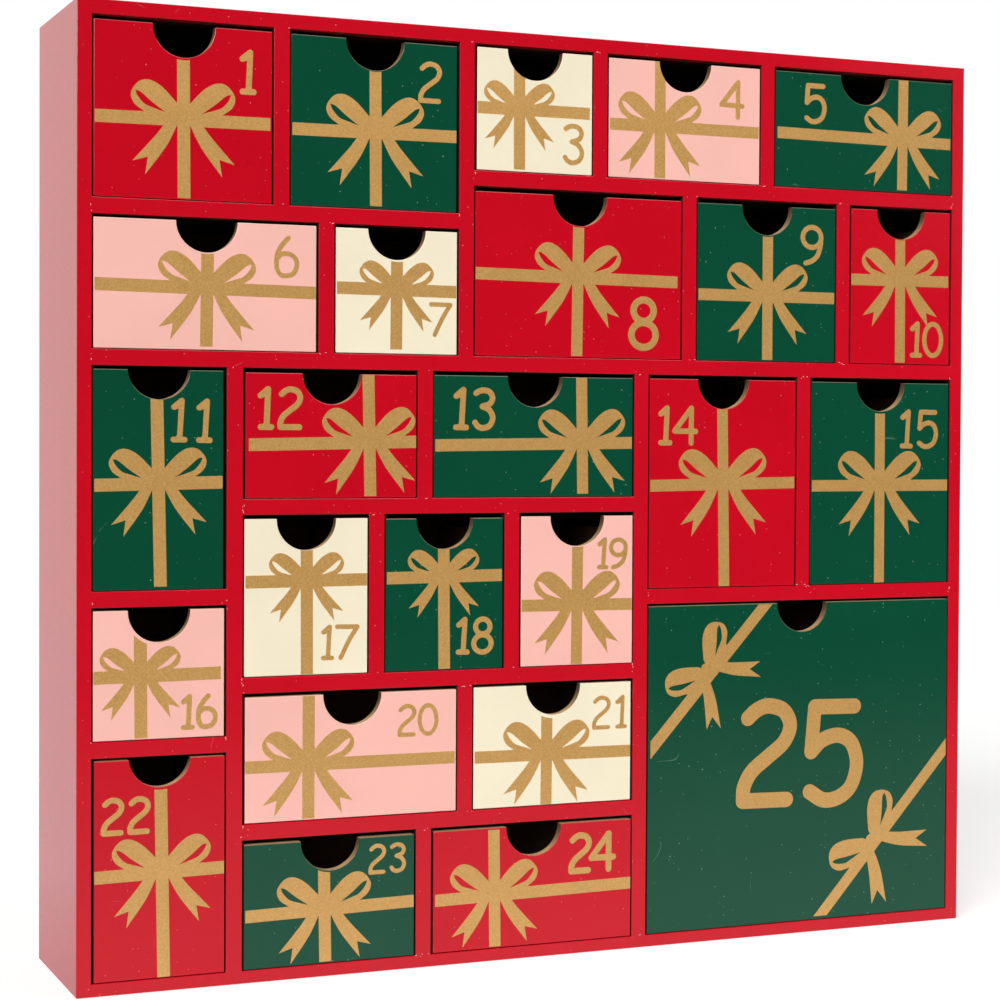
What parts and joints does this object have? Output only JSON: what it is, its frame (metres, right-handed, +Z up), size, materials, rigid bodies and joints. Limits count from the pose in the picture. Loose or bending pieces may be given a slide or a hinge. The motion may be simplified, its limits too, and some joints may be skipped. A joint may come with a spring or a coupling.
{
  "type": "wooden advent calendar",
  "caption": "Shallow upright painted wooden case whose front is a grid of small pull-out drawers of mixed sizes, each with a finger notch, a printed ribbon bow and a number.",
  "frame": {"origin": "middle of the footprint, on the surface that the case stands on", "axes": "+Z up, +X to the right seen from the front, the drawer fronts face -Y"},
  "size_m": [0.38, 0.0726, 0.367],
  "materials": {
    "case_red": "semi-gloss red paint",
    "front_red": "satin red paint",
    "front_green": "satin green paint",
    "front_pink": "satin pink paint",
    "front_cream": "satin cream paint",
    "tray_wood": "bare board",
    "back_board": "bare board",
    "brad_steel": "bright",
    "gold_print": "metallic ink"
  },
  "bodies": {
    "case": {"top_board": "case_red", "bottom_board": "case_red", "left_side_board": "case_red", "right_side_board": "case_red", "back_panel": "back_board", "shelves": "case_red", "partitions": "case_red", "back_panel_brads": "brad_steel", "corner_brads": "brad_steel"},
    "drawer_01": {"drawer_01_front": "front_red", "drawer_01_tray": "tray_wood"},
    "drawer_02": {"drawer_02_front": "front_green", "drawer_02_tray": "tray_wood"},
    "drawer_03": {"drawer_03_front": "front_cream", "drawer_03_tray": "tray_wood"},
    "drawer_04": {"drawer_04_front": "front_pink", "drawer_04_tray": "tray_wood"},
    "drawer_05": {"drawer_05_front": "front_green", "drawer_05_tray": "tray_wood"},
    "drawer_06": {"drawer_06_front": "front_pink", "drawer_06_tray": "tray_wood"},
    "drawer_07": {"drawer_07_front": "front_cream", "drawer_07_tray": "tray_wood"},
    "drawer_08": {"drawer_08_front": "front_red", "drawer_08_tray": "tray_wood"},
    "drawer_09": {"drawer_09_front": "front_green", "drawer_09_tray": "tray_wood"},
    "drawer_10": {"drawer_10_front": "front_red", "drawer_10_tray": "tray_wood"},
    "drawer_11": {"drawer_11_front": "front_green", "drawer_11_tray": "tray_wood"},
    "drawer_12": {"drawer_12_front": "front_red", "drawer_12_tray": "tray_wood"},
    "drawer_13": {"drawer_13_front": "front_green", "drawer_13_tray": "tray_wood"},
    "drawer_14": {"drawer_14_front": "front_red", "drawer_14_tray": "tray_wood"},
    "drawer_15": {"drawer_15_front": "front_green", "drawer_15_tray": "tray_wood"},
    "drawer_16": {"drawer_16_front": "front_pink", "drawer_16_tray": "tray_wood"},
    "drawer_17": {"drawer_17_front": "front_cream", "drawer_17_tray": "tray_wood"},
    "drawer_18": {"drawer_18_front": "front_green", "drawer_18_tray": "tray_wood"},
    "drawer_19": {"drawer_19_front": "front_pink", "drawer_19_tray": "tray_wood"},
    "drawer_20": {"drawer_20_front": "front_pink", "drawer_20_tray": "tray_wood"},
    "drawer_21": {"drawer_21_front": "front_cream", "drawer_21_tray": "tray_wood"},
    "drawer_22": {"drawer_22_front": "front_red", "drawer_22_tray": "tray_wood"},
    "drawer_23": {"drawer_23_front": "front_green", "drawer_23_tray": "tray_wood"},
    "drawer_24": {"drawer_24_front": "front_red", "drawer_24_tray": "tray_wood"},
    "drawer_25": {"drawer_25_front": "front_green", "drawer_25_tray": "tray_wood"}
  },
  "joints": [
    {"name": "drawer_01_slide", "type": "slide", "parent": "case", "child": "drawer_01", "axis": [0, -1, 0], "range_m": [0, 0.055]},
    {"name": "drawer_02_slide", "type": "slide", "parent": "case", "child": "drawer_02", "axis": [0, -1, 0], "range_m": [0, 0.055]},
    {"name": "drawer_03_slide", "type": "slide", "parent": "case", "child": "drawer_03", "axis": [0, -1, 0], "range_m": [0, 0.055]},
    {"name": "drawer_04_slide", "type": "slide", "parent": "case", "child": "drawer_04", "axis": [0, -1, 0], "range_m": [0, 0.055]},
    {"name": "drawer_05_slide", "type": "slide", "parent": "case", "child": "drawer_05", "axis": [0, -1, 0], "range_m": [0, 0.055]},
    {"name": "drawer_06_slide", "type": "slide", "parent": "case", "child": "drawer_06", "axis": [0, -1, 0], "range_m": [0, 0.055]},
    {"name": "drawer_07_slide", "type": "slide", "parent": "case", "child": "drawer_07", "axis": [0, -1, 0], "range_m": [0, 0.055]},
    {"name": "drawer_08_slide", "type": "slide", "parent": "case", "child": "drawer_08", "axis": [0, -1, 0], "range_m": [0, 0.055]},
    {"name": "drawer_09_slide", "type": "slide", "parent": "case", "child": "drawer_09", "axis": [0, -1, 0], "range_m": [0, 0.055]},
    {"name": "drawer_10_slide", "type": "slide", "parent": "case", "child": "drawer_10", "axis": [0, -1, 0], "range_m": [0, 0.055]},
    {"name": "drawer_11_slide", "type": "slide", "parent": "case", "child": "drawer_11", "axis": [0, -1, 0], "range_m": [0, 0.055]},
    {"name": "drawer_12_slide", "type": "slide", "parent": "case", "child": "drawer_12", "axis": [0, -1, 0], "range_m": [0, 0.055]},
    {"name": "drawer_13_slide", "type": "slide", "parent": "case", "child": "drawer_13", "axis": [0, -1, 0], "range_m": [0, 0.055]},
    {"name": "drawer_14_slide", "type": "slide", "parent": "case", "child": "drawer_14", "axis": [0, -1, 0], "range_m": [0, 0.055]},
    {"name": "drawer_15_slide", "type": "slide", "parent": "case", "child": "drawer_15", "axis": [0, -1, 0], "range_m": [0, 0.055]},
    {"name": "drawer_16_slide", "type": "slide", "parent": "case", "child": "drawer_16", "axis": [0, -1, 0], "range_m": [0, 0.055]},
    {"name": "drawer_17_slide", "type": "slide", "parent": "case", "child": "drawer_17", "axis": [0, -1, 0], "range_m": [0, 0.055]},
    {"name": "drawer_18_slide", "type": "slide", "parent": "case", "child": "drawer_18", "axis": [0, -1, 0], "range_m": [0, 0.055]},
    {"name": "drawer_19_slide", "type": "slide", "parent": "case", "child": "drawer_19", "axis": [0, -1, 0], "range_m": [0, 0.055]},
    {"name": "drawer_20_slide", "type": "slide", "parent": "case", "child": "drawer_20", "axis": [0, -1, 0], "range_m": [0, 0.055]},
    {"name": "drawer_21_slide", "type": "slide", "parent": "case", "child": "drawer_21", "axis": [0, -1, 0], "range_m": [0, 0.055]},
    {"name": "drawer_22_slide", "type": "slide", "parent": "case", "child": "drawer_22", "axis": [0, -1, 0], "range_m": [0, 0.055]},
    {"name": "drawer_23_slide", "type": "slide", "parent": "case", "child": "drawer_23", "axis": [0, -1, 0], "range_m": [0, 0.055]},
    {"name": "drawer_24_slide", "type": "slide", "parent": "case", "child": "drawer_24", "axis": [0, -1, 0], "range_m": [0, 0.055]},
    {"name": "drawer_25_slide", "type": "slide", "parent": "case", "child": "drawer_25", "axis": [0, -1, 0], "range_m": [0, 0.055]}
  ]
}
